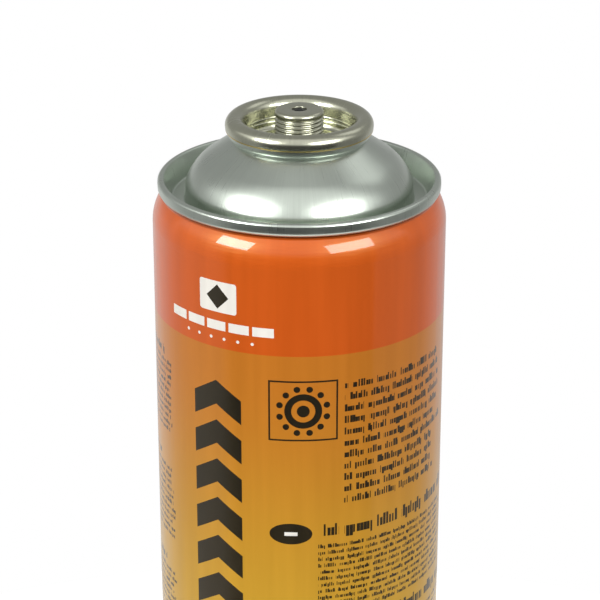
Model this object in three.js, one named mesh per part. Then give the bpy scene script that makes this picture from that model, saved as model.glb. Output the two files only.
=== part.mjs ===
// Fuel canister: a tall tinplate gas can with a domed top and a threaded valve boss.
// Millimetres, +Z up, origin at the middle of the rim that it stands on.
import * as THREE from 'three';

// Can body, a welded tube necked in at both ends.
const canHeight = 270;
const bodyRadius = 32.65;
const neckDepth = 2.1;
const neckLength = 0.9;
const shoulderRadius = 10;
const sheet = 0.5;
const gap = 0.3;

// Double seams, the rolled joints that hold both ends on the body.
const seamHeight = 2.8;
const seamOverhang = 0.55;
const seamBulge = 0.3;
const seamThickness = 1.5;
const seamRounding = 0.45;

// Channel between the top seam and the dome.
const channelDepth = 2.25;
const channelWidth = 3.34;
const channelCorner = 0.5;
const chuckTaper = 1.3;

// Drawn dome: an upright wall, two arcs and a cone up to the neck.
const domeWallTop = 0.9;
const domeCornerRadius = 3.2;
const domeCornerAngle = 22.7;
const domeCrownRadius = 12.8;
const domeCrownAngle = 55;
const domeNeckStep = 0.8;

// Rolled bead round the opening of the dome, which carries the valve cup.
const beadHeight = 3.03;
const beadFootRadius = 0.8;
const beadFootAngle = 75;
const gasketWidth = 1;

// Valve cup: its curl, wall, crimped groove, floor and threaded boss.
const cupSheet = 0.4;
const curlRadius = 14.2;
const curlRounding = 2.15;
const skirtLength = 1.05;
const skirtTaper = 0.1;
const cupWallLength = 1.9;
const crimpDepth = 1.15;
const crimpLength = 2.2;
const floorDepth = 4.75;
const floorRounding = 1;
const bossRadius = 5.4;
const bossRise = 3.55;
const bossRounding = 0.8;
const bossFillet = 0.8;
const holeRadius = 1.65;

// Rubber seal under the hole in the boss.
const sealThickness = 2.2;
const sealHoleRadius = 0.8;
const sealHoleDepth = 1.2;

// Concave bottom end.
const bottomInset = 2.1;
const bottomDepth = 10.5;
const bottomSpring = 4.6;
const bottomCorner = 0.8;

const segments = 40;

// Radii that follow from the ones above.
const neckRadius = bodyRadius - neckDepth;
const seamFootRadius = neckRadius + seamOverhang;
const seamRadius = seamFootRadius + seamBulge;
const seamInner = seamRadius - seamThickness;
const domeRadius = seamInner - chuckTaper - channelWidth;
const domeNeckRadius = curlRadius + domeNeckStep;
const bottomRadius = seamInner - bottomInset;
const curlInner = curlRounding - cupSheet;
const beadRadius = curlInner - gap;
const coreGap = sheet + gap;
const sealRadius = bossRadius - bossRounding - gap;

const printedTin = new THREE.MeshStandardMaterial({ color: 0xc85822, roughness: 0.3, metalness: 0.1 });
const satinTin = new THREE.MeshStandardMaterial({ color: 0xa9aca5, roughness: 0.35, metalness: 1 });
const warmTin = new THREE.MeshStandardMaterial({ color: 0xb5b3a2, roughness: 0.28, metalness: 1 });
const gasketRubber = new THREE.MeshStandardMaterial({ color: 0x8f7c35, roughness: 0.7, metalness: 0 });
const sealRubber = new THREE.MeshStandardMaterial({ color: 0x151515, roughness: 0.8, metalness: 0 });

// Points of an arc in the half plane of radius and height, angles in degrees.
function arc(radius, height, bend, from, to, steps) {
  const points = [];
  for (let i = 0; i <= steps; i += 1) {
    const angle = THREE.MathUtils.degToRad(from + ((to - from) * i) / steps);
    points.push([radius + bend * Math.cos(angle), height + bend * Math.sin(angle)]);
  }
  return points;
}

function direction([fromRadius, fromHeight], [toRadius, toHeight]) {
  const length = Math.hypot(toRadius - fromRadius, toHeight - fromHeight);
  return [(toRadius - fromRadius) / length, (toHeight - fromHeight) / length];
}

// The other face of a sheet: each point moves square to the line, to the left of its run.
function otherFace(points, distance) {
  return points.map((point, i) => {
    const before = points[Math.max(i - 1, 0)];
    const after = points[Math.min(i + 1, points.length - 1)];
    const arriving = before === point ? direction(point, after) : direction(before, point);
    const leaving = after === point ? arriving : direction(point, after);
    const normal = [-arriving[1] - leaving[1], arriving[0] + leaving[0]];
    const scale = (2 * distance) / (normal[0] ** 2 + normal[1] ** 2);
    const onAxis = point[0] === 0;
    return [onAxis ? 0 : point[0] + normal[0] * scale, point[1] + normal[1] * scale];
  });
}

// The point at a given height on the line through two points.
function pointAtHeight([radiusA, heightA], [radiusB, heightB], height) {
  const share = (height - heightA) / (heightB - heightA);
  return [radiusA + (radiusB - radiusA) * share, height];
}

// Moves an outline up from the seam's foot to its place in the can.
function raised(outline) {
  return outline.map(([radius, height]) => [radius, height + seamFoot]);
}

// Turns an outline drawn for the top end over, for the bottom end.
function turnedOver(outline) {
  return outline.map(([radius, height]) => [radius, seamHeight - height]).reverse();
}

// A turned piece. Its outline runs anticlockwise, from axis to axis or round a closed section.
function turned(name, outline, material) {
  const closed = outline[0][0] === 0 ? outline : [...outline, outline[0]];
  const points = closed.map(([radius, height]) => new THREE.Vector2(radius, height));
  const geometry = new THREE.LatheGeometry(points, segments);
  geometry.rotateX(Math.PI / 2);
  const mesh = new THREE.Mesh(geometry, material);
  mesh.name = name;
  return mesh;
}

// Outside of a double seam, from its foot on the body over the crest to the inner edge.
function seamOutline() {
  const crest = seamHeight - seamRounding;
  return [
    [seamFootRadius, 0],
    [seamRadius, seamHeight / 2],
    ...arc(seamRadius - seamRounding, crest, seamRounding, 0, 90, 2),
    ...arc(seamInner + seamRounding, crest, seamRounding, 90, 180, 2),
  ];
}

// Upper face of the top end inside the seam: the channel, then the dome up to its neck.
function domeFace() {
  const wallFoot = seamInner - chuckTaper;
  const cornerHeight = channelCorner - channelDepth;
  const corner = arc(domeRadius - domeCornerRadius, domeWallTop, domeCornerRadius, 0, domeCornerAngle, 2);
  const [cornerEnd, cornerTop] = corner.at(-1);
  const tilt = THREE.MathUtils.degToRad(domeCornerAngle);
  const crownCentre = cornerEnd - domeCrownRadius * Math.cos(tilt);
  const crownFoot = cornerTop - domeCrownRadius * Math.sin(tilt);
  const crown = arc(crownCentre, crownFoot, domeCrownRadius, domeCornerAngle, domeCrownAngle, 4);
  const [coneRadius, coneFoot] = crown.at(-1);
  const coneRise = (coneRadius - domeNeckRadius) / Math.tan(THREE.MathUtils.degToRad(domeCrownAngle));
  return [
    ...arc(wallFoot - channelCorner, cornerHeight, channelCorner, 0, -90, 2),
    ...arc(domeRadius + channelCorner, cornerHeight, channelCorner, -90, -180, 2),
    ...corner,
    ...crown.slice(1),
    [domeNeckRadius, coneFoot + coneRise],
  ];
}

// Heights above the foot of the top seam, from the dome's neck up.
const domeLine = domeFace();
const neckTop = domeLine.at(-1)[1];
const curlHeight = neckTop + beadHeight;
const floorHeight = curlHeight - floorDepth;
const bossHeight = curlHeight + bossRise;
const sealTop = bossHeight - cupSheet;
const seamFoot = canHeight - bossHeight;

// Line of the chuck wall and what follows it, on the far face of a sheet of the given thickness.
function farFace(face, distance) {
  const line = otherFace([[seamInner, seamHeight - seamRounding], ...face], distance);
  return [pointAtHeight(line[0], line[1], 0), ...line.slice(1)];
}

// Half angle of the flat that the gasket lies on, at the top of an arc of the curl.
function flatAngle(bend) {
  return THREE.MathUtils.radToDeg(Math.acos(gasketWidth / 2 / bend));
}

function flatHeight(bend) {
  return curlHeight + Math.sqrt(bend ** 2 - (gasketWidth / 2) ** 2);
}

// Top end: one drawn sheet, from the seam through the channel and dome to the rolled bead.
function topDome() {
  const beadEdge = curlRadius + beadRadius;
  const beadFoot = neckTop + gap + beadFootRadius;
  const flat = flatAngle(beadRadius);
  return turned('top_dome', raised([
    ...seamOutline(),
    ...domeLine,
    ...arc(beadEdge - beadFootRadius, beadFoot, beadFootRadius, -beadFootAngle, 0, 2),
    ...arc(curlRadius, curlHeight, beadRadius, 0, flat, 3),
    ...arc(curlRadius, curlHeight, beadRadius, 180 - flat, 180, 3),
    [curlRadius - beadRadius, curlHeight - cupWallLength],
    ...farFace(domeLine, sheet).reverse(),
  ]), satinTin);
}

// Upper face of the valve cup, from the wall under its curl to the edge of the hole in the boss.
function cupFace() {
  const wall = curlRadius - curlRounding;
  const grooveTop = curlHeight - cupWallLength;
  const grooveFoot = grooveTop - crimpLength;
  return [
    [wall, curlHeight],
    [wall, grooveTop],
    [wall + crimpDepth, grooveTop - crimpLength / 2],
    [wall, grooveFoot],
    [wall - floorRounding, floorHeight],
    ...arc(bossRadius + bossFillet, floorHeight + bossFillet, bossFillet, -90, -180, 2),
    ...arc(bossRadius - bossRounding, bossHeight - bossRounding, bossRounding, 0, 90, 3),
    [holeRadius, bossHeight],
  ];
}

// Valve cup: one pressed sheet, curled over the dome's bead, with the boss drawn up in its middle.
function valveCup() {
  const face = cupFace();
  const skirtFoot = curlHeight - skirtLength;
  const flat = flatAngle(curlInner);
  const under = otherFace(face, cupSheet);
  return turned('valve_cup', raised([
    [curlRadius + curlRounding - skirtTaper, skirtFoot],
    ...arc(curlRadius, curlHeight, curlRounding, 0, 180, 10),
    ...face.slice(1),
    [holeRadius, sealTop],
    ...under.slice(1, -1).reverse(),
    ...arc(curlRadius, curlHeight, curlInner, 180, 180 - flat, 3),
    ...arc(curlRadius, curlHeight, curlInner, flat, 0, 3),
    [curlRadius + curlInner, skirtFoot],
  ]), warmTin);
}

// Gasket between the bead of the dome and the curl of the cup.
function cupGasket() {
  const inner = curlRadius - gasketWidth / 2;
  const outer = curlRadius + gasketWidth / 2;
  const lower = flatHeight(beadRadius);
  const upper = flatHeight(curlInner);
  return turned('cup_gasket', raised([
    [inner, lower],
    [outer, lower],
    [outer, upper],
    [inner, upper],
  ]), gasketRubber);
}

// Rubber seal pressed up under the hole, with the small blind hole that the valve pin enters.
function valveSeal() {
  return turned('valve_seal', raised([
    [0, sealTop - sealThickness],
    [sealRadius, sealTop - sealThickness],
    [sealRadius, sealTop],
    [sealHoleRadius, sealTop],
    [sealHoleRadius, sealTop - sealHoleDepth],
    [0, sealTop - sealHoleDepth],
  ]), sealRubber);
}

// Outer face of the bottom end inside the seam, drawn as if it were the top one.
function bottomFace() {
  const spring = seamHeight - bottomSpring;
  const rise = bottomDepth - bottomSpring;
  const bend = (bottomRadius ** 2 + rise ** 2) / (2 * rise);
  const reach = THREE.MathUtils.radToDeg(Math.asin(bottomRadius / bend));
  const panel = arc(0, spring - rise + bend, bend, reach - 90, -90, 5);
  return [
    [bottomRadius + bottomCorner, spring + bottomCorner],
    ...panel.slice(0, -1),
    [0, seamHeight - bottomDepth],
  ];
}

// Bottom end: one pressed sheet, hollow underneath, rolled onto the body at the rim it stands on.
function bottomEnd() {
  const face = bottomFace();
  return turned('bottom_end', turnedOver([
    ...seamOutline(),
    ...face,
    ...farFace(face, sheet).reverse(),
  ]), satinTin);
}

// Printed body, necked in to pass under both seams, solid with all that is sealed inside it.
function canBody() {
  const tangent = Math.sqrt(shoulderRadius ** 2 - (shoulderRadius - bodyRadius + neckRadius) ** 2);
  const bend = THREE.MathUtils.radToDeg(Math.asin(tangent / shoulderRadius));
  const shoulder = arc(bodyRadius - shoulderRadius, 0, shoulderRadius, 0, bend, 5);
  const topShoulder = shoulder.map(([r, z]) => [r, z + seamFoot - neckLength - tangent]);
  const lowShoulder = shoulder.map(([r, z]) => [r, seamHeight + neckLength + tangent - z]).reverse();
  const dome = farFace(domeLine, coreGap);
  const coreTop = floorHeight - cupSheet - gap;
  const low = dome.filter(([, height]) => height < coreTop);
  const crossing = pointAtHeight(low.at(-1), dome[low.length], coreTop);
  return turned('can_body', [
    ...turnedOver(farFace(bottomFace(), coreGap)),
    [neckRadius, seamHeight],
    ...lowShoulder,
    ...topShoulder,
    [neckRadius, seamFoot],
    ...raised([
      ...low,
      crossing,
      [sealRadius, coreTop],
      [sealRadius, sealTop - sealThickness],
      [0, sealTop - sealThickness],
    ]),
  ], printedTin);
}

const group = new THREE.Group();
group.add(canBody(), bottomEnd(), topDome(), cupGasket(), valveCup(), valveSeal());

export default group;
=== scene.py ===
# Fuel canister: a printed tinplate gas can with a drawn dome and a threaded valve boss.
# The pieces are modelled in the order in which the can is put together, each with its own finish.
from math import asin, atan2, cos, degrees, hypot, pi, radians, sin, sqrt, tan

import bmesh
import bpy
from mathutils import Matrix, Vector


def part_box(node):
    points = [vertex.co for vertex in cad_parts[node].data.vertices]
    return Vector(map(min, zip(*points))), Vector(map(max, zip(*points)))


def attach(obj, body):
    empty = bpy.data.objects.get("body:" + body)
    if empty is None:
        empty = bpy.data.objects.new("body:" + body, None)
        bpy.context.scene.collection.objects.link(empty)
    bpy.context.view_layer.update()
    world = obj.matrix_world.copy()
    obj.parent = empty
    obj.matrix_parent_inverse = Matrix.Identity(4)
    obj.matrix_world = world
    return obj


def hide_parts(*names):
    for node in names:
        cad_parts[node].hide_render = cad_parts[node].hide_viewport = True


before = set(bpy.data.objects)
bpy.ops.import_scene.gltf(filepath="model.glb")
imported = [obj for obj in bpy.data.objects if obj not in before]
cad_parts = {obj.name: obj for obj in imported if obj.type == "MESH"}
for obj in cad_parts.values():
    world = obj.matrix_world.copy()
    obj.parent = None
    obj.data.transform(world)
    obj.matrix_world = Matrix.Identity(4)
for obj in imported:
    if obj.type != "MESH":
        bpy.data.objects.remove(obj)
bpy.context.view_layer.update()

# Camera: level with the photograph's, in front of the can and looking down on its top.
# The can's axis falls just left of the middle of the picture.
PICTURE = 600
camera_reach = 2328.6
camera_pitch = radians(22.696)
camera_away = 0.486
camera_over_seam = 0.17605
axis_column = 299.3

camera_data = bpy.data.cameras.new("camera")
camera_data.sensor_width = 36
camera_data.lens = camera_reach / PICTURE * camera_data.sensor_width
camera_data.clip_start = 0.01
camera = bpy.data.objects.new("camera", camera_data)
bpy.context.collection.objects.link(camera)
camera.rotation_euler = (pi / 2 - camera_pitch, 0, 0)
bpy.context.scene.camera = camera

# Top end: one sheet of tinplate, drawn up into a dome, with a channel round its foot and a rolled
# bead round its opening. The heights of the whole top follow from its outline, in millimetres above
# the foot of the seam.
MM = 0.001
SHEET = 0.5
GAP = 0.3
body_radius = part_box("can_body")[1][0] / MM
neck_radius = body_radius - 2.1
seam_height = 2.8
seam_foot_radius = neck_radius + 0.55
seam_radius = seam_foot_radius + 0.3
seam_inner = seam_radius - 1.5
seam_rounding = 0.45
crest_rounding = 0.8
channel_depth = 2.25
channel_corner = 0.5
chuck_taper = 1.3
dome_radius = seam_inner - chuck_taper - 3.34
dome_wall_top = 0.9
dome_corner_radius = 3.2
dome_corner_angle = 22.7
dome_crown_radius = 12.8
dome_crown_angle = 55
curl_radius = 14.2
curl_rounding = 2.15
CUP_SHEET = 0.4
curl_inner = curl_rounding - CUP_SHEET
bead_radius = curl_inner - GAP
bead_foot_radius = 0.8
neck_clearance = 0.8
curl_over_neck = 3.03
floor_under_curl = 4.75
boss_over_curl = 3.55


def arc(radius, height, bend, start, end, steps):
    """Points of an arc in the half plane of radius and height, angles in degrees."""
    turns = [radians(start + (end - start) * i / steps) for i in range(steps + 1)]
    return [(radius + bend * cos(turn), height + bend * sin(turn)) for turn in turns]


def other_face(points, distance):
    """The other face of a sheet: every point moves square to the line, to the left of its run."""
    moved = []
    for i, (radius, height) in enumerate(points):
        before = Vector(points[max(i - 1, 0)])
        after = Vector(points[min(i + 1, len(points) - 1)])
        here = Vector((radius, height))
        arriving = (here - before).normalized() if i > 0 else (after - here).normalized()
        leaving = (after - here).normalized() if i < len(points) - 1 else arriving
        normal = Vector((-arriving.y - leaving.y, arriving.x + leaving.x))
        shift = normal * (2 * distance / normal.length_squared)
        moved.append((0 if radius == 0 else radius + shift.x, height + shift.y))
    return moved


def turned(name, outline, steps=192):
    """Spins an outline of (radius, height) in millimetres round the axis into one closed mesh."""
    bm = bmesh.new()
    points = [bm.verts.new((radius * MM, 0, height * MM)) for radius, height in outline]
    ends = points[1:] + (points[:1] if outline[0][0] > 0 else [])
    edges = [bm.edges.new(pair) for pair in zip(points, ends)]
    bmesh.ops.spin(bm, geom=points + edges, cent=(0, 0, 0), axis=(0, 0, 1), angle=2 * pi,
                   steps=steps, use_merge=True)
    bmesh.ops.remove_doubles(bm, verts=bm.verts, dist=1e-7)
    bmesh.ops.recalc_face_normals(bm, faces=bm.faces)
    return finished(name, bm)


def finished(name, bm, sharp=35):
    """Turns a bmesh into a smooth shaded object with its sharp corners kept."""
    mesh = bpy.data.meshes.new(name)
    bm.to_mesh(mesh)
    bm.free()
    mesh.shade_smooth()
    mesh.set_sharp_from_angle(angle=radians(sharp))
    piece = bpy.data.objects.new(name, mesh)
    bpy.context.collection.objects.link(piece)
    return piece


def seam_outline():
    """Outside of a double seam, from its foot on the body over the crest to the inner edge."""
    crest = seam_height - seam_rounding
    return [(seam_foot_radius - 0.12, 0), (seam_foot_radius, 0.12),
            *arc(seam_radius - 6, seam_height / 2, 6, -8, 8, 6),
            *arc(seam_radius - 0.05 - crest_rounding, seam_height - crest_rounding, crest_rounding,
                 10, 90, 8),
            *arc(seam_inner + seam_rounding, crest, seam_rounding, 90, 163, 5)]


def dome_face():
    """Upper face of the top end inside the seam: the channel, then the dome up to its neck."""
    wall_foot = seam_inner - chuck_taper
    corner_height = channel_corner - channel_depth
    corner = arc(dome_radius - dome_corner_radius, dome_wall_top, dome_corner_radius,
                 0, dome_corner_angle, 6)
    tilt = radians(dome_corner_angle)
    crown_centre = corner[-1][0] - dome_crown_radius * cos(tilt)
    crown_foot = corner[-1][1] - dome_crown_radius * sin(tilt)
    crown = arc(crown_centre, crown_foot, dome_crown_radius, dome_corner_angle, dome_crown_angle, 14)
    cone_rise = (crown[-1][0] - curl_radius - neck_clearance) / tan(radians(dome_crown_angle))
    return [*arc(wall_foot - channel_corner, corner_height, channel_corner, -16, -90, 5),
            *arc(dome_radius + channel_corner, corner_height, channel_corner, -90, -180, 5),
            *corner, *crown[1:], (curl_radius + neck_clearance, crown[-1][1] + cone_rise)]


dome_line = dome_face()
neck_top = dome_line[-1][1]
curl_height = neck_top + curl_over_neck
floor_height = curl_height - floor_under_curl
boss_height = curl_height + boss_over_curl
seam_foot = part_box("valve_cup")[1][2] / MM - boss_height
camera.location = ((PICTURE / 2 - axis_column) * camera_away / camera_reach, -camera_away,
                   seam_foot * MM + camera_over_seam)


def raised(outline):
    """Moves an outline from the foot of the top seam to its place in the can."""
    return [(radius, height + seam_foot) for radius, height in outline]


def far_face(face, distance):
    """Chuck wall and what follows it on the far face of a sheet, from the foot of the seam on."""
    line = other_face([(seam_inner, seam_height - seam_rounding), *face], distance)
    share = line[0][1] / (line[0][1] - line[1][1])
    return [(line[0][0] + (line[1][0] - line[0][0]) * share, 0), *line[1:]]


bead_edge = curl_radius + bead_radius
top_dome = turned("drawn_dome", raised([
    *seam_outline(),
    *dome_line,
    *arc(bead_edge - bead_foot_radius, neck_top + GAP + bead_foot_radius, bead_foot_radius, -75, 0, 6),
    *arc(curl_radius, curl_height, bead_radius, 0, 180, 16),
    (curl_radius - bead_radius, curl_height - 1.9),
    *reversed(far_face(dome_line, SHEET)),
]))
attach(top_dome, "root")
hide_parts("top_dome")


def new_group(name, inputs, outputs):
    """A shader node group with the named float and colour sockets."""
    group = bpy.data.node_groups.new(name, "ShaderNodeTree")
    kinds = {"f": "NodeSocketFloat", "c": "NodeSocketColor"}
    for socket, kind, value in inputs:
        made = group.interface.new_socket(socket, in_out="INPUT", socket_type=kinds[kind])
        made.default_value = value
    for socket, kind in outputs:
        group.interface.new_socket(socket, in_out="OUTPUT", socket_type=kinds[kind])
    return group


class Sums:
    """Writes sums with shader nodes: every call adds one node and gives its result."""

    def __init__(self, tree):
        self.tree = tree

    def node(self, kind, **settings):
        made = self.tree.nodes.new(kind)
        for name, value in settings.items():
            setattr(made, name, value)
        return made

    def put(self, socket, value):
        if isinstance(value, bpy.types.NodeSocket):
            self.tree.links.new(value, socket)
        else:
            socket.default_value = value

    def math(self, operation, *values):
        made = self.node("ShaderNodeMath", operation=operation)
        for socket, value in zip(made.inputs, values):
            self.put(socket, value)
        return made.outputs[0]

    def ramp(self, value, low, high, out_low=0.0, out_high=1.0):
        """Smooth step of a value between two limits."""
        made = self.node("ShaderNodeMapRange", interpolation_type="SMOOTHSTEP")
        for socket, entry in zip(made.inputs, (value, low, high, out_low, out_high)):
            self.put(socket, entry)
        return made.outputs[0]

    def colour(self, share, low, high):
        """Mixes two colours."""
        made = self.node("ShaderNodeMix", data_type="RGBA")
        self.put(made.inputs[0], share)
        self.put(made.inputs[6], low)
        self.put(made.inputs[7], high)
        return made.outputs[2]

    def xyz(self, x, y, z):
        made = self.node("ShaderNodeCombineXYZ")
        for socket, value in zip(made.inputs, (x, y, z)):
            self.put(socket, value)
        return made.outputs[0]

    def noise(self, vector, scale, detail, roughness):
        made = self.node("ShaderNodeTexNoise")
        self.put(made.inputs["Vector"], vector)
        made.inputs["Scale"].default_value = scale
        made.inputs["Detail"].default_value = detail
        made.inputs["Roughness"].default_value = roughness
        return made.outputs["Fac"]

    def object_xyz(self):
        place = self.node("ShaderNodeTexCoord")
        parts = self.node("ShaderNodeSeparateXYZ")
        self.tree.links.new(place.outputs["Object"], parts.inputs[0])
        return parts.outputs


def linear(red, green, blue):
    """A colour as seen on a screen, 0 to 255, as the linear values that a shader takes."""
    def one(value):
        share = value / 255
        return share / 12.92 if share <= 0.04045 else ((share + 0.055) / 1.055) ** 2.4
    return one(red), one(green), one(blue), 1.0


# Tinplate as drawn: fine lines run up the wall from the tool, and the tin clouds a little.
tin_group = new_group("drawn_tinplate", [("Tone", "c", (0.6, 0.6, 0.6, 1)), ("Lines", "f", 60.0),
                                         ("Contrast", "f", 0.1), ("Smoothness", "f", 0.25)],
                      [("Color", "c"), ("Roughness", "f"), ("Height", "f")])
sums = Sums(tin_group)
tin_in = sums.node("NodeGroupInput")
tin_out = sums.node("NodeGroupOutput")
x, y, z = sums.object_xyz()
azimuth = sums.math("ARCTAN2", x, y)
lines = sums.noise(sums.xyz(sums.math("MULTIPLY", azimuth, tin_in.outputs["Lines"]),
                            sums.math("MULTIPLY", z, 60.0), 0.0), 1.0, 3.0, 0.6)
clouds = sums.noise(sums.xyz(sums.math("MULTIPLY", x, 90.0), sums.math("MULTIPLY", y, 90.0),
                             sums.math("MULTIPLY", z, 90.0)), 1.0, 3.0, 0.55)
change = sums.math("ADD", sums.math("SUBTRACT", lines, 0.5),
                   sums.math("MULTIPLY", sums.math("SUBTRACT", clouds, 0.5), 0.7))
tone = sums.math("ADD", 1.0, sums.math("MULTIPLY", change, tin_in.outputs["Contrast"]))
scaled = sums.node("ShaderNodeVectorMath", operation="SCALE")
sums.put(scaled.inputs[0], tin_in.outputs["Tone"])
sums.put(scaled.inputs["Scale"], tone)
sums.put(tin_out.inputs["Color"], scaled.outputs[0])
sums.put(tin_out.inputs["Roughness"],
         sums.math("ADD", tin_in.outputs["Smoothness"], sums.math("MULTIPLY", change, 0.12)))
sums.put(tin_out.inputs["Height"], lines)


def new_material(name):
    """A material with its tree emptied down to one Principled shader, and a writer of sums for it."""
    material = bpy.data.materials.new(name)
    material.use_nodes = True
    return material, material.node_tree.nodes["Principled BSDF"], Sums(material.node_tree)


def tinplate(name, tone, lines, contrast, smoothness, bump):
    """Bare tinplate with the drawn lines of the group above."""
    material, shader, sums = new_material(name)
    made = sums.node("ShaderNodeGroup", node_tree=tin_group)
    made.inputs["Tone"].default_value = tone
    made.inputs["Lines"].default_value = lines
    made.inputs["Contrast"].default_value = contrast
    made.inputs["Smoothness"].default_value = smoothness
    sums.put(shader.inputs["Base Color"], made.outputs["Color"])
    sums.put(shader.inputs["Roughness"], made.outputs["Roughness"])
    shader.inputs["Metallic"].default_value = 1.0
    lift = sums.node("ShaderNodeBump")
    lift.inputs["Strength"].default_value = bump
    lift.inputs["Distance"].default_value = 0.00003
    sums.put(lift.inputs["Height"], made.outputs["Height"])
    sums.put(shader.inputs["Normal"], lift.outputs[0])
    return material


top_dome.data.materials.append(tinplate("satin_tinplate", linear(196, 204, 194), 110.0, 0.18, 0.30, 0.7))

# Valve cup: one disc pressed into a cup, its rim curled over the dome's bead, its wall pushed out
# under the bead to lock it, and its middle drawn up into the boss with a rolled thread.
cup_wall = curl_radius - curl_rounding
groove_top = curl_height - 1.9
groove_foot = groove_top - 2.2
crimp_depth = 1.15
boss_radius = 5.4
boss_rounding = 0.8
boss_fillet = 0.8
hole_radius = 1.65
hole_rounding = 0.15
skirt_foot = curl_height - 1.05
seal_top = boss_height - CUP_SHEET
thread_pitch = 25.4 / 28
thread_depth = 0.42
thread_top = boss_height - 1.05
thread_foot = floor_height + 1.3


def boss_side():
    """The side of the boss, in steps fine enough for the thread."""
    high = boss_height - boss_rounding
    low = floor_height + boss_fillet
    steps = 84
    return [(boss_radius, low + (high - low) * i / steps) for i in range(1, steps)]


cup_face = [
    (cup_wall, curl_height),
    *arc(cup_wall - 0.6, groove_top + 0.35, 0.6, 0, -35, 3),
    *arc(cup_wall + crimp_depth - 0.5, groove_top - 1.1, 0.5, 45, -40, 5),
    *arc(cup_wall - 1.5, floor_height + 1.5, 1.5, -15, -90, 7),
    *arc(boss_radius + boss_fillet, floor_height + boss_fillet, boss_fillet, -90, -180, 6),
    *boss_side(),
    *arc(boss_radius - boss_rounding, boss_height - boss_rounding, boss_rounding, 0, 90, 7),
    *arc(hole_radius + hole_rounding, boss_height - hole_rounding, hole_rounding, 90, 180, 4),
]
under_face = [
    (cup_wall + CUP_SHEET, curl_height),
    (cup_wall + CUP_SHEET, groove_top),
    (cup_wall + crimp_depth + CUP_SHEET, groove_top - 1.1),
    (cup_wall + CUP_SHEET, groove_foot - 0.1),
    *arc(cup_wall - 1.5, floor_height + 1.5, 1.5 + CUP_SHEET, -30, -90, 4),
    (boss_radius - CUP_SHEET - 0.5, floor_height - CUP_SHEET),
    (boss_radius - CUP_SHEET - 0.5, seal_top),
]
valve_cup = turned("pressed_valve_cup", raised([
    *arc(curl_radius + curl_rounding - 0.2, skirt_foot + 0.1, 0.1, -90, 0, 3),
    *arc(curl_radius, curl_height, curl_rounding, 0, 180, 28),
    *cup_face[1:],
    (hole_radius, seal_top),
    *reversed(under_face),
    *arc(curl_radius, curl_height, curl_inner, 180, 0, 16),
    (curl_radius + curl_inner, skirt_foot + 0.1),
]))

# The thread is rolled into the boss: each point of its side sinks by its place in the turn.
for vertex in valve_cup.data.vertices:
    radius = hypot(vertex.co.x, vertex.co.y)
    height = vertex.co.z / MM - seam_foot
    on_side = abs(radius / MM - boss_radius) < 0.02 and thread_foot < height < thread_top
    if on_side:
        turn = (height / thread_pitch - atan2(vertex.co.y, vertex.co.x) / (2 * pi)) % 1
        groove = 0.5 - 0.5 * cos(2 * pi * turn)
        fade = min((thread_top - height) / 0.5, (height - thread_foot) / 0.8, 1)
        sink = thread_depth * fade * groove ** 0.7
        vertex.co.x *= 1 - sink * MM / radius
        vertex.co.y *= 1 - sink * MM / radius
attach(valve_cup, "root")
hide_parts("valve_cup")
cup_tinplate = tinplate("cup_tinplate", linear(186, 187, 168), 30.0, 0.30, 0.25, 0.6)
valve_cup.data.materials.append(cup_tinplate)

# Gold lacquer from the inside of the strip shows along the cut edge of the curl.
sums = Sums(cup_tinplate.node_tree)
cup_shader = cup_tinplate.node_tree.nodes["Principled BSDF"]
x, y, z = sums.object_xyz()
gold_height = 0.32
edge_low = sums.math("LESS_THAN", z, (seam_foot + skirt_foot + gold_height) * MM)
from_axis = sums.math("SQRT", sums.math("ADD", sums.math("MULTIPLY", x, x), sums.math("MULTIPLY", y, y)))
edge_out = sums.math("GREATER_THAN", from_axis, (curl_radius + curl_inner - 0.02) * MM)
plain = cup_shader.inputs["Base Color"].links[0].from_socket
sums.put(cup_shader.inputs["Base Color"], sums.colour(sums.math("MULTIPLY", edge_low, edge_out),
                                                      plain, linear(214, 188, 120)))

# Gasket: a flat ring cut from straw coloured rubber. It is clamped between the bead of the dome
# and the curl of the cup, and keeps the gas in there.
flat_half = 0.5
gasket_low = curl_height + sqrt(bead_radius ** 2 - flat_half ** 2)
gasket_high = curl_height + sqrt(curl_inner ** 2 - flat_half ** 2)
cup_gasket = turned("cup_gasket_ring", raised([
    (curl_radius - flat_half, gasket_low + 0.1),
    (curl_radius + flat_half, gasket_low + 0.1),
    (curl_radius + flat_half, gasket_high - 0.02),
    (curl_radius - flat_half, gasket_high - 0.02),
]))
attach(cup_gasket, "root")
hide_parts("cup_gasket")


def rubber(name, tone, grain):
    """Moulded rubber with a fine grain."""
    material, shader, sums = new_material(name)
    x, y, z = sums.object_xyz()
    speck = sums.noise(sums.xyz(x, y, z), grain, 4.0, 0.6)
    dark = tuple(0.7 * value for value in tone[:3]) + (1.0,)
    sums.put(shader.inputs["Base Color"], sums.colour(speck, dark, tone))
    sums.put(shader.inputs["Roughness"], sums.ramp(speck, 0.2, 0.8, 0.55, 0.85))
    return material


cup_gasket.data.materials.append(rubber("gasket_rubber", linear(150, 128, 62), 4000.0))

# Seal: a disc of black rubber pressed up under the boss and held by the crimp round it.
# The small blind hole in it takes the valve pin.
seal_radius = boss_radius - boss_rounding - GAP
seal_foot = seal_top - 2.2
valve_seal = turned("rubber_valve_seal", raised([
    (0, seal_foot),
    (seal_radius, seal_foot),
    (seal_radius, seal_top - 0.02),
    (0.9, seal_top - 0.02),
    *arc(0.95, seal_top - 0.17, 0.15, 90, 180, 4),
    (0.8, seal_top - 1.2),
    (0, seal_top - 1.2),
]), 64)
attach(valve_seal, "root")
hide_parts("valve_seal")
valve_seal.data.materials.append(rubber("seal_rubber", linear(24, 24, 24), 5000.0))

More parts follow.
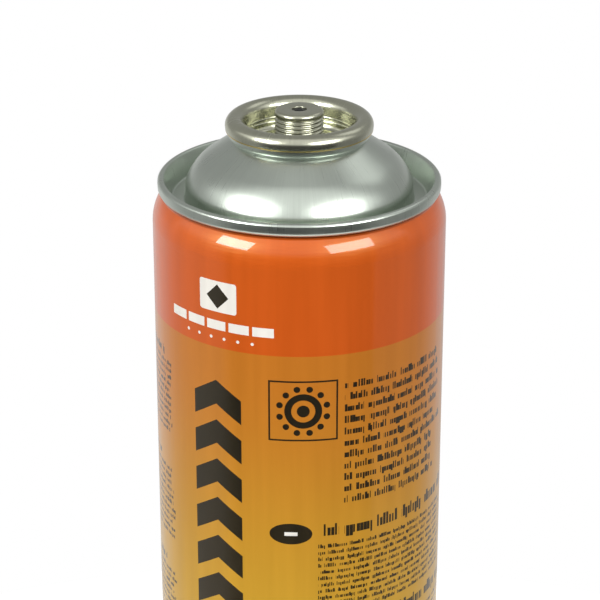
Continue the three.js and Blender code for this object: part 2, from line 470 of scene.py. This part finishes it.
# Bottom end: one pressed sheet, hollow underneath, rolled onto the body like the top one.
# The can stands on its seam.
bottom_radius = seam_inner - 2.1
bottom_depth = 10.5
bottom_spring = 4.6
bottom_rise = bottom_depth - bottom_spring
bottom_bend = (bottom_radius ** 2 + bottom_rise ** 2) / (2 * bottom_rise)
bottom_reach = degrees(asin(bottom_radius / bottom_bend))
spring = seam_height - bottom_spring
bottom_face = [
    *arc(bottom_radius + 0.3, spring + 0.9, 0.8, -10, -60, 4),
    *arc(0, spring - bottom_rise + bottom_bend, bottom_bend, bottom_reach - 90, -89, 20),
    (0, seam_height - bottom_depth),
]
bottom_end = turned("concave_bottom_end", [(radius, seam_height - height) for radius, height in [
    *seam_outline(),
    *bottom_face,
    *reversed(far_face(bottom_face, SHEET)),
]])
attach(bottom_end, "root")
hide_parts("bottom_end")
bottom_end.data.materials.append(bpy.data.materials["satin_tinplate"])

# Can body: a printed and lacquered sheet of tinplate, rolled into a tube, welded down its back
# and necked in at both ends, where the seams of the two ends hold it.
shoulder_radius = 10
neck_length = 0.9
WALL = 0.28
shoulder_rise = sqrt(shoulder_radius ** 2 - (shoulder_radius - body_radius + neck_radius) ** 2)
shoulder_angle = degrees(asin(shoulder_rise / shoulder_radius))
shoulder = arc(body_radius - shoulder_radius, 0, shoulder_radius, 0, shoulder_angle, 14)
top_shoulder = [(r, h + seam_foot - neck_length - shoulder_rise) for r, h in shoulder]
low_shoulder = [(r, seam_height + neck_length + shoulder_rise - h) for r, h in reversed(shoulder)]
tube_line = [(neck_radius, seam_height), *low_shoulder, *top_shoulder, (neck_radius, seam_foot)]
can_body = turned("printed_can_body", [*tube_line, *reversed(other_face(tube_line, WALL))], 256)
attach(can_body, "root")
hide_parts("can_body")

# Print on the body. Places are millimetres round the tube from the front, positive to the right,
# and millimetres below the trimmed edge of the sheet inside the top seam.
sheet_edge = seam_foot + 0.45
ORANGE = linear(188, 79, 18)
AMBER = linear(179, 106, 30)
YELLOW = linear(188, 145, 41)
BLACK = linear(20, 19, 14)
WHITE = linear(222, 219, 211)

box_group = new_group("printed_box", [
    ("Across", "f", 0.0), ("Down", "f", 0.0), ("Middle across", "f", 0.0), ("Middle down", "f", 0.0),
    ("Half width", "f", 1.0), ("Half height", "f", 1.0), ("Corner", "f", 0.0)], [("Mask", "f")])
sums = Sums(box_group)
given = sums.node("NodeGroupInput").outputs
result = sums.node("NodeGroupOutput")
beyond = []
for place, middle, half in (("Across", "Middle across", "Half width"),
                            ("Down", "Middle down", "Half height")):
    away = sums.math("ABSOLUTE", sums.math("SUBTRACT", given[place], given[middle]))
    inner = sums.math("SUBTRACT", given[half], given["Corner"])
    beyond.append(sums.math("MAXIMUM", sums.math("SUBTRACT", away, inner), 0.0))
reach = sums.math("SQRT", sums.math("ADD", sums.math("MULTIPLY", beyond[0], beyond[0]),
                                    sums.math("MULTIPLY", beyond[1], beyond[1])))
sums.put(result.inputs["Mask"], sums.math("LESS_THAN", reach, sums.math("ADD", given["Corner"], 0.001)))

# Rows of short upright strokes in groups as long as words, where a can carries its small print.
# Every so many rows a paragraph ends and leaves a gap.
rows_group = new_group("printed_rows", [
    ("Across", "f", 0.0), ("Down", "f", 0.0), ("Width", "f", 30.0), ("Pitch", "f", 1.6),
    ("Height", "f", 0.8), ("Stroke", "f", 0.5), ("Ragged", "f", 4.0), ("Period", "f", 16.0),
    ("Filled", "f", 11.0), ("Seed", "f", 0.0)], [("Mask", "f")])
sums = Sums(rows_group)
given = sums.node("NodeGroupInput").outputs
result = sums.node("NodeGroupOutput")


def chance(*values):
    """A random number from 0 to 1 that stays with the given whole numbers."""
    made = sums.node("ShaderNodeTexWhiteNoise", noise_dimensions="3D")
    sums.put(made.inputs["Vector"], sums.xyz(*values))
    return made.outputs["Value"]


def both(*masks):
    """Where all the masks hold."""
    joined = masks[0]
    for one in masks[1:]:
        joined = sums.math("MULTIPLY", joined, one)
    return joined


rows_down = sums.math("DIVIDE", given["Down"], given["Pitch"])
row_number = sums.math("FLOOR", rows_down)
row_depth = sums.math("MULTIPLY", sums.math("FRACT", rows_down), given["Pitch"])
row_seed = sums.math("ADD", sums.math("MULTIPLY", row_number, 3.1), given["Seed"])
row_end = sums.math("SUBTRACT", given["Width"],
                    sums.math("MULTIPLY", chance(row_seed, 0.5, 0.5), given["Ragged"]))
mask = both(sums.math("GREATER_THAN", given["Across"], 0.0), sums.math("LESS_THAN", given["Across"], row_end))
paragraph = sums.math("MODULO", row_number, given["Period"])
mask = both(mask, sums.math("LESS_THAN", paragraph, sums.math("SUBTRACT", given["Filled"], 0.5)))
strokes = sums.math("DIVIDE", given["Across"], given["Stroke"])
stroke_number = sums.math("FLOOR", strokes)
words = sums.node("ShaderNodeTexVoronoi", voronoi_dimensions="1D", feature="DISTANCE_TO_EDGE")
sums.put(words.inputs["W"], sums.math("ADD", sums.math("DIVIDE", strokes, 10.0),
                                      sums.math("MULTIPLY", row_seed, 7.77)))
words.inputs["Scale"].default_value = 1.0
words.inputs["Randomness"].default_value = 0.75
mask = both(mask, sums.math("GREATER_THAN", words.outputs["Distance"], 0.075))
fill = sums.ramp(chance(stroke_number, row_seed, 2.5), 0.0, 1.0, 0.5, 1.0)
mask = both(mask, sums.math("LESS_THAN", sums.math("FRACT", strokes), fill))
tall = chance(stroke_number, row_seed, 1.5)
rise = sums.math("MULTIPLY", sums.math("LESS_THAN", tall, 0.66), 0.32)
fall = sums.math("MULTIPLY", sums.math("LESS_THAN", tall, 0.1), 0.25)
top = sums.math("MULTIPLY", given["Height"], rise)
foot = sums.math("MULTIPLY", given["Height"], sums.math("ADD", fall, 1.0))
mask = both(mask, sums.math("GREATER_THAN", row_depth, top), sums.math("LESS_THAN", row_depth, foot))
sums.put(result.inputs["Mask"], mask)

print_material, print_shader, sums = new_material("printed_tinplate")
x, y, z = sums.object_xyz()
across = sums.math("MULTIPLY", sums.math("ARCTAN2", x, sums.math("MULTIPLY", y, -1.0)), body_radius)
down = sums.math("SUBTRACT", sheet_edge, sums.math("MULTIPLY", z, 1 / MM))


def box(left, right, top, bottom, corner=0.0):
    """Mask of a printed box with rounded corners."""
    made = sums.node("ShaderNodeGroup", node_tree=box_group)
    values = (across, down, (left + right) / 2, (top + bottom) / 2,
              (right - left) / 2, (bottom - top) / 2, corner)
    for socket, value in zip(made.inputs, values):
        sums.put(socket, value)
    return made.outputs["Mask"]


def rows(place, top, *values):
    """Mask of a column of rows: width, pitch, height, stroke, ragged, period, filled, seed."""
    made = sums.node("ShaderNodeGroup", node_tree=rows_group)
    for socket, value in zip(made.inputs, (place, sums.math("SUBTRACT", down, top), *values)):
        sums.put(socket, value)
    return both(made.outputs["Mask"], sums.math("GREATER_THAN", down, top))


def any_of(*masks):
    """Where any of the masks holds."""
    joined = masks[0]
    for one in masks[1:]:
        joined = sums.math("MAXIMUM", joined, one)
    return joined


def away_from(middle_across, middle_down, stretch=1.0):
    """Distance from a point of the print."""
    aside = sums.math("SUBTRACT", across, middle_across)
    below = sums.math("MULTIPLY", sums.math("SUBTRACT", down, middle_down), stretch)
    return sums.math("SQRT", sums.math("ADD", sums.math("MULTIPLY", aside, aside),
                                       sums.math("MULTIPLY", below, below)))


# Orange band round the top, then amber that turns yellower down the can.
band_foot = 27.2
field = sums.colour(sums.ramp(down, 26.0, 100.0), AMBER, YELLOW)
ground = sums.colour(sums.math("GREATER_THAN", down, band_foot), ORANGE, field)

# Emblem in the band: a white tile with a black diamond, a broken white bar and a row of dots.
tile = box(-23.2, -13.8, 11.8, 18.9, 0.6)
tile_middle = (-18.5, 15.35)
lean = sums.math("ADD", sums.math("ABSOLUTE", sums.math("SUBTRACT", across, tile_middle[0])),
                 sums.math("ABSOLUTE", sums.math("SUBTRACT", down, tile_middle[1])))
diamond = sums.math("LESS_THAN", lean, 2.8)
bar_left, bar_pitch = -32.4, 5.55
bar_share = sums.math("FRACT", sums.math("DIVIDE", sums.math("SUBTRACT", across, bar_left), bar_pitch))
bar = both(box(bar_left, -4.8, 20.9, 23.05), sums.math("LESS_THAN", bar_share, 0.86))
dots_left, dots_down, dot_pitch = -28.6, 24.95, 3.34
dot_turn = sums.math("DIVIDE", sums.math("SUBTRACT", across, dots_left), dot_pitch)
dot_share = sums.math("SUBTRACT", sums.math("FRACT", dot_turn), 0.5)
dot_aside = sums.math("MULTIPLY", dot_share, dot_pitch)
dot_below = sums.math("SUBTRACT", down, dots_down)
dot_away = sums.math("SQRT", sums.math("ADD", sums.math("MULTIPLY", dot_aside, dot_aside),
                                       sums.math("MULTIPLY", dot_below, dot_below)))
dots = both(sums.math("LESS_THAN", dot_away, 0.36), box(dots_left, -8.6, 24.0, 26.0))
white_print = any_of(tile, bar, dots)

# Column of heavy black chevrons that point up to the valve.
chevron_middle, chevron_half = -19.15, 6.2
chevron_pitch, chevron_stroke, chevron_slope = 9.5, 0.60, 0.62
chevron_top, chevron_foot, chevron_count = 35.0, 196.0, 16.0
slope = sums.math("MULTIPLY", sums.math("ABSOLUTE", sums.math("SUBTRACT", across, chevron_middle)),
                  chevron_slope)
chevron_down = sums.math("DIVIDE", sums.math("SUBTRACT", sums.math("SUBTRACT", down, slope), chevron_top),
                         chevron_pitch)
chevrons = both(sums.math("LESS_THAN", sums.math("FRACT", chevron_down), chevron_stroke),
                box(chevron_middle - chevron_half, chevron_middle + chevron_half, chevron_top, chevron_foot))
chevrons = both(chevrons, both(sums.math("GREATER_THAN", chevron_down, 0.0),
                               sums.math("LESS_THAN", chevron_down, chevron_count)))

# Framed burner head: a ring with a disc in its middle and round ports about it.
frame_line = sums.math("SUBTRACT", box(-6.75, 8.45, 32.9, 47.2), box(-6.35, 8.05, 33.3, 46.8))
burner = (0.85, 40.05)
port_count, port_ring = 12, 5.3
burner_away = away_from(*burner)
ring = both(sums.math("GREATER_THAN", burner_away, 2.6), sums.math("LESS_THAN", burner_away, 4.1))
disc = sums.math("LESS_THAN", burner_away, 1.4)
burner_turn = sums.math("ARCTAN2", sums.math("SUBTRACT", across, burner[0]),
                        sums.math("SUBTRACT", down, burner[1]))
port_turn = sums.math("FRACT", sums.math("MULTIPLY", burner_turn, port_count / (2 * pi)))
port_turn = sums.math("SUBTRACT", port_turn, 0.5)
port_aside = sums.math("MULTIPLY", port_turn, 2 * pi * port_ring / port_count)
port_away = sums.math("SUBTRACT", burner_away, port_ring)
port_reach = sums.math("SQRT", sums.math("ADD", sums.math("MULTIPLY", port_aside, port_aside),
                                         sums.math("MULTIPLY", port_away, port_away)))
ports = sums.math("LESS_THAN", port_reach, 0.72)

# Oval badge with a plain white bar.
oval_away = away_from(-1.87, 69.95, 1.85)
oval = sums.math("LESS_THAN", oval_away, 4.75)
oval_bar = box(-3.3, -0.4, 69.5, 70.4)

# Paragraphs: bold rows beside the frame, headings with small print below them, and a column of
# headings and small print at the left. Two more columns stand either side of the weld at the back.
right_step, left_step = 24.2, 26.5
small_high, small_stroke = 0.95, 0.42
bold_place = sums.math("SUBTRACT", across, 10.0)
bold_rows = both(rows(bold_place, 33.55, 33.0, 2.765, 1.7, 0.62, 7.0, 99.0, 11.0, 1.0),
                 sums.math("LESS_THAN", down, 63.5))
heading_place = sums.math("SUBTRACT", across, 5.4)
right_headings = rows(heading_place, 67.7, 41.0, right_step, 2.9, 0.85, 1.0, 2.0, 9.0, 2.0)
right_place = sums.math("SUBTRACT", across, 4.2)
right_rows = rows(right_place, 72.7, 42.0, right_step / 15, small_high, small_stroke, 3.0, 15.0, 11.0, 3.0)
left_place = sums.math("ADD", across, 62.0)
left_headings = rows(left_place, 33.0, 24.5, left_step, 1.8, 0.6, 5.0, 2.0, 9.0, 4.0)
left_rows = rows(left_place, 36.0, 28.2, left_step / 16, small_high, small_stroke, 2.0, 16.0, 11.0, 5.0)
round_tube = 2 * pi * body_radius
back_left, back_step = 54.0, 54.0
back_place = sums.math("SUBTRACT", sums.math("ADD", across, round_tube), back_left)
back_place = sums.math("MODULO", back_place, round_tube)
back_column = sums.math("MODULO", back_place, back_step)
back_rows = both(rows(back_column, 33.5, 38.0, left_step / 16, small_high, small_stroke,
                      3.0, 16.0, 12.0, 6.0),
                 sums.math("LESS_THAN", back_place, 82.0))
paragraphs = any_of(bold_rows, right_headings, right_rows, left_headings, left_rows, back_rows)
paragraphs_foot = 232.0
paragraphs = both(paragraphs, sums.math("LESS_THAN", down, paragraphs_foot))
black_print = any_of(both(tile, diamond), chevrons, frame_line, ring, disc, ports, oval, paragraphs)

# Weld: a strip down the back is left bare for the weld, which shows as a dark line in it.
strip_away = sums.math("SUBTRACT", pi * body_radius, sums.math("ABSOLUTE", across))
bare_half, weld_half = 2.4, 0.55
bare = sums.math("LESS_THAN", strip_away, bare_half)
weld = sums.math("LESS_THAN", strip_away, weld_half)

# Inks and lacquer: the ink clouds a little, and a band of painted shadow darkens it where the sheet goes
# in under the seam. The clear lacquer over it follows the fine ripples that necking leaves in the sheet.
inked = sums.colour(white_print, ground, WHITE)
inked = sums.colour(black_print, inked, BLACK)
inked = sums.colour(both(oval, oval_bar), inked, WHITE)
mottle = sums.noise(sums.xyz(sums.math("MULTIPLY", across, 0.35), 0.0, sums.math("MULTIPLY", down, 0.02)),
                    1.0, 3.0, 0.5)
worn = sums.node("ShaderNodeHueSaturation")
sums.put(worn.inputs["Color"], inked)
sums.put(worn.inputs["Value"], sums.ramp(mottle, 0.2, 0.8, 0.95, 1.05))
# Painted shadow: the neck just under the top seam is turned dark brown to stand in for the seam's shade.
seam_shadowed = sums.colour(sums.ramp(down, 0.5, 1.5), linear(60, 22, 4), worn.outputs[0])
bare_tin = sums.colour(weld, linear(176, 182, 176), linear(112, 112, 108))
sums.put(print_shader.inputs["Base Color"], sums.colour(bare, seam_shadowed, bare_tin))
sums.put(print_shader.inputs["Metallic"], sums.ramp(bare, 0.0, 1.0, 0.0, 0.9))
sums.put(print_shader.inputs["Roughness"], sums.ramp(mottle, 0.2, 0.8, 0.30, 0.40))
print_shader.inputs["Specular IOR Level"].default_value = 0.6
print_shader.inputs["Specular Tint"].default_value = (1.0, 0.66, 0.22, 1)
print_shader.inputs["Coat Weight"].default_value = 0.65
print_shader.inputs["Coat Roughness"].default_value = 0.04
print_shader.inputs["Coat IOR"].default_value = 1.6
lift = sums.node("ShaderNodeBump")
lift.inputs["Strength"].default_value = 0.4
lift.inputs["Distance"].default_value = 0.0002
necking = sums.noise(sums.xyz(sums.math("MULTIPLY", across, 0.10), 3.0, sums.math("MULTIPLY", down, 1.1)),
                     1.0, 2.0, 0.6)
necking = sums.math("MULTIPLY", necking, sums.ramp(down, 10.5, 6.5, 0.0, 0.8))
surface = sums.math("ADD", sums.math("MULTIPLY", mottle, 0.15), necking)
sums.put(lift.inputs["Height"], sums.math("ADD", surface, weld))
sums.put(print_shader.inputs["Normal"], lift.outputs[0])
can_body.data.materials.append(print_material)

# Floor: a round pale table top, which the can stands on. It is white to the eye but for the
# shadow of the can.
floor_radius = 0.28
floor_mesh = bmesh.new()
bmesh.ops.create_circle(floor_mesh, cap_ends=True, segments=96, radius=floor_radius)
floor = finished("floor", floor_mesh)
floor_material, floor_shader, sums = new_material("pale_floor")
floor_shader.inputs["Base Color"].default_value = (0.8, 0.8, 0.8, 1)
floor_shader.inputs["Roughness"].default_value = 0.9
seen = sums.node("ShaderNodeLightPath")
glow = sums.node("ShaderNodeEmission")
glow.inputs["Color"].default_value = (1, 1, 1, 1)
sums.put(glow.inputs["Strength"], sums.math("MULTIPLY", seen.outputs["Is Camera Ray"], 0.45))
joined = sums.node("ShaderNodeAddShader")
sums.put(joined.inputs[0], floor_shader.outputs[0])
sums.put(joined.inputs[1], glow.outputs[0])
sums.put(floor_material.node_tree.nodes["Material Output"].inputs["Surface"], joined.outputs[0])
floor.data.materials.append(floor_material)

# Room: white to the camera. Round the can it is a light tent with a darker mouth in front,
# a grey top and brighter sides, and two soft boxes stand either side of the camera.
world = bpy.data.worlds.new("tent")
bpy.context.scene.world = world
world.use_nodes = True
background = world.node_tree.nodes["Background"]
sums = Sums(world.node_tree)
toward = sums.node("ShaderNodeTexCoord")
parts = sums.node("ShaderNodeSeparateXYZ")
sums.put(parts.inputs[0], toward.outputs["Generated"])
x, y, z = parts.outputs
elevation = sums.math("MULTIPLY", sums.math("ARCSINE", z), 180 / pi)
heading = sums.math("MULTIPLY", sums.math("ARCTAN2", x, sums.math("MULTIPLY", y, -1.0)), 180 / pi)
turned_away = sums.math("ABSOLUTE", heading)
right_edge = sums.ramp(heading, 58.0, 62.0)
left_edge = sums.ramp(heading, -52.0, -68.0)
behind = sums.ramp(turned_away, 100.0, 145.0)
low_level = sums.math("ADD", 0.06, sums.math("ADD", sums.math("MULTIPLY", right_edge, 0.20),
                                             sums.math("MULTIPLY", left_edge, 0.32)))
low_level = sums.math("ADD", low_level, sums.math("MULTIPLY", behind, 0.35))
reach_back = sums.ramp(elevation, 20.0, 45.0, 1.0, 0.0)
side_reach = sums.ramp(x, -0.2, 0.2, 0.46, 0.16)
limit = sums.math("SUBTRACT", sums.math("MULTIPLY", reach_back, side_reach), 0.08)
front = sums.ramp(sums.math("SUBTRACT", limit, y), -0.06, 0.08)
notch = both(sums.ramp(turned_away, 30.0, 12.0), sums.ramp(elevation, 58.0, 40.0))
bright = sums.math("SUBTRACT", 0.60, sums.math("MULTIPLY", notch, 0.10))
high_level = sums.math("ADD", 0.38, sums.math("MULTIPLY", front, bright))
high = sums.ramp(elevation, 8.0, 24.0)
back_high = sums.ramp(elevation, -8.0, 8.0)
high = sums.math("ADD", sums.math("MULTIPLY", high, front),
                 sums.math("MULTIPLY", back_high, sums.math("SUBTRACT", 1.0, front)))
level = sums.math("ADD", sums.math("MULTIPLY", low_level, sums.math("SUBTRACT", 1.0, high)),
                  sums.math("MULTIPLY", high_level, high))
seen = sums.node("ShaderNodeLightPath")
to_camera = seen.outputs["Is Camera Ray"]
level = sums.math("ADD", sums.math("MULTIPLY", level, sums.math("SUBTRACT", 1.0, to_camera)), to_camera)
sums.put(background.inputs["Strength"], level)
background.inputs["Color"].default_value = (1, 1, 1, 1)


def soft_box(name, heading, elevation, distance, width, height, power):
    """A rectangular lamp that looks at the foot of the top seam."""
    lamp = bpy.data.lights.new(name, "AREA")
    lamp.shape = "RECTANGLE"
    lamp.size = width
    lamp.size_y = height
    lamp.energy = power
    made = bpy.data.objects.new(name, lamp)
    bpy.context.collection.objects.link(made)
    aim = Vector((0, 0, seam_foot * MM))
    turn, tilt = radians(heading), radians(elevation)
    place = aim + distance * Vector((sin(turn) * cos(tilt), -cos(turn) * cos(tilt), sin(tilt)))
    made.location = place
    made.rotation_euler = (aim - place).to_track_quat("-Z", "Y").to_euler()


soft_box("left_soft_box", -54, 28, 0.9, 0.42, 0.32, 6.6)
soft_box("right_soft_box", 42, 28, 0.9, 0.56, 0.32, 5.5)
soft_box("back_soft_box", 125, 46, 0.9, 0.4, 0.4, 0.35)

bpy.context.scene.view_settings.view_transform = "Standard"
